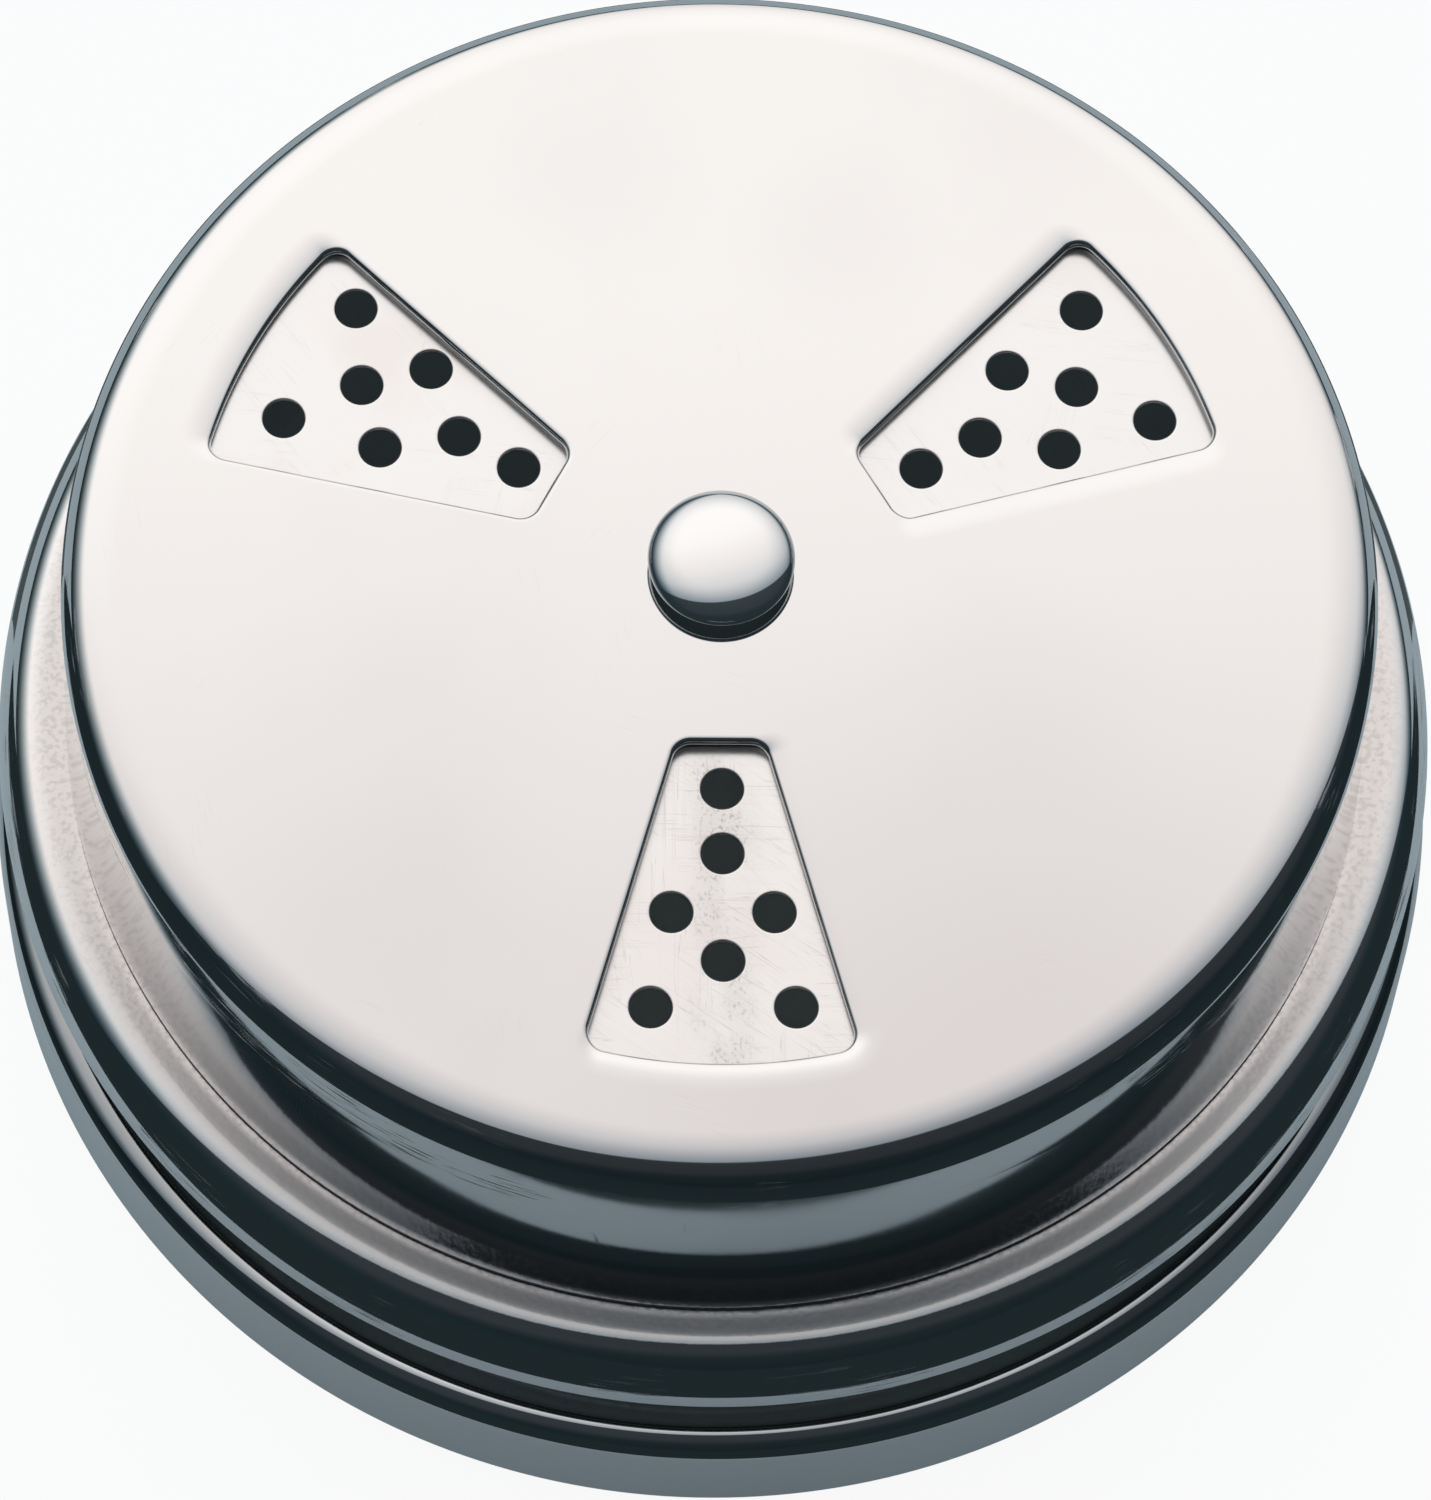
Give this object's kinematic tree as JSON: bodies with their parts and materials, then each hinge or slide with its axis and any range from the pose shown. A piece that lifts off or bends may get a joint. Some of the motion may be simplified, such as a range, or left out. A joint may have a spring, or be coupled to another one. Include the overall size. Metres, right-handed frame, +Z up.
{
  "type": "cheese shaker",
  "caption": "Low round steel shaker for grated cheese: stepped container, slip-on sieve lid with a flared rim, and a windowed cover that turns on a domed rivet to open or close the holes.",
  "frame": {"origin": "middle of the underside, on the table", "axes": "+Z up along the axis of the shaker, -Y towards the front window"},
  "size_m": [0.08, 0.08, 0.0391],
  "materials": {
    "polished_steel": "mirror polished stainless steel",
    "satin_steel": "polished rim, plain mill finish under the cover",
    "spring_steel": "plain",
    "silicone": "matt silicone",
    "plastic": "plain white"
  },
  "bodies": {
    "container": {"container": "polished_steel", "seal_ring": "silicone"},
    "lid": {"sieve_lid": "satin_steel", "pivot_rivet": "polished_steel", "glide_washer": "plastic", "cone_spring": "spring_steel", "tail_washer": "spring_steel"},
    "cover": {"turning_cover": "polished_steel"}
  },
  "joints": [
    {"name": "lid_lift", "type": "slide", "parent": "container", "child": "lid", "axis": [0, 0, 1], "range_m": [0, 0.03]},
    {"name": "cover_turn", "type": "hinge", "parent": "lid", "child": "cover", "pos_m": [0, 0, 0.0363], "axis": [0, 0, 1], "continuous": true}
  ]
}
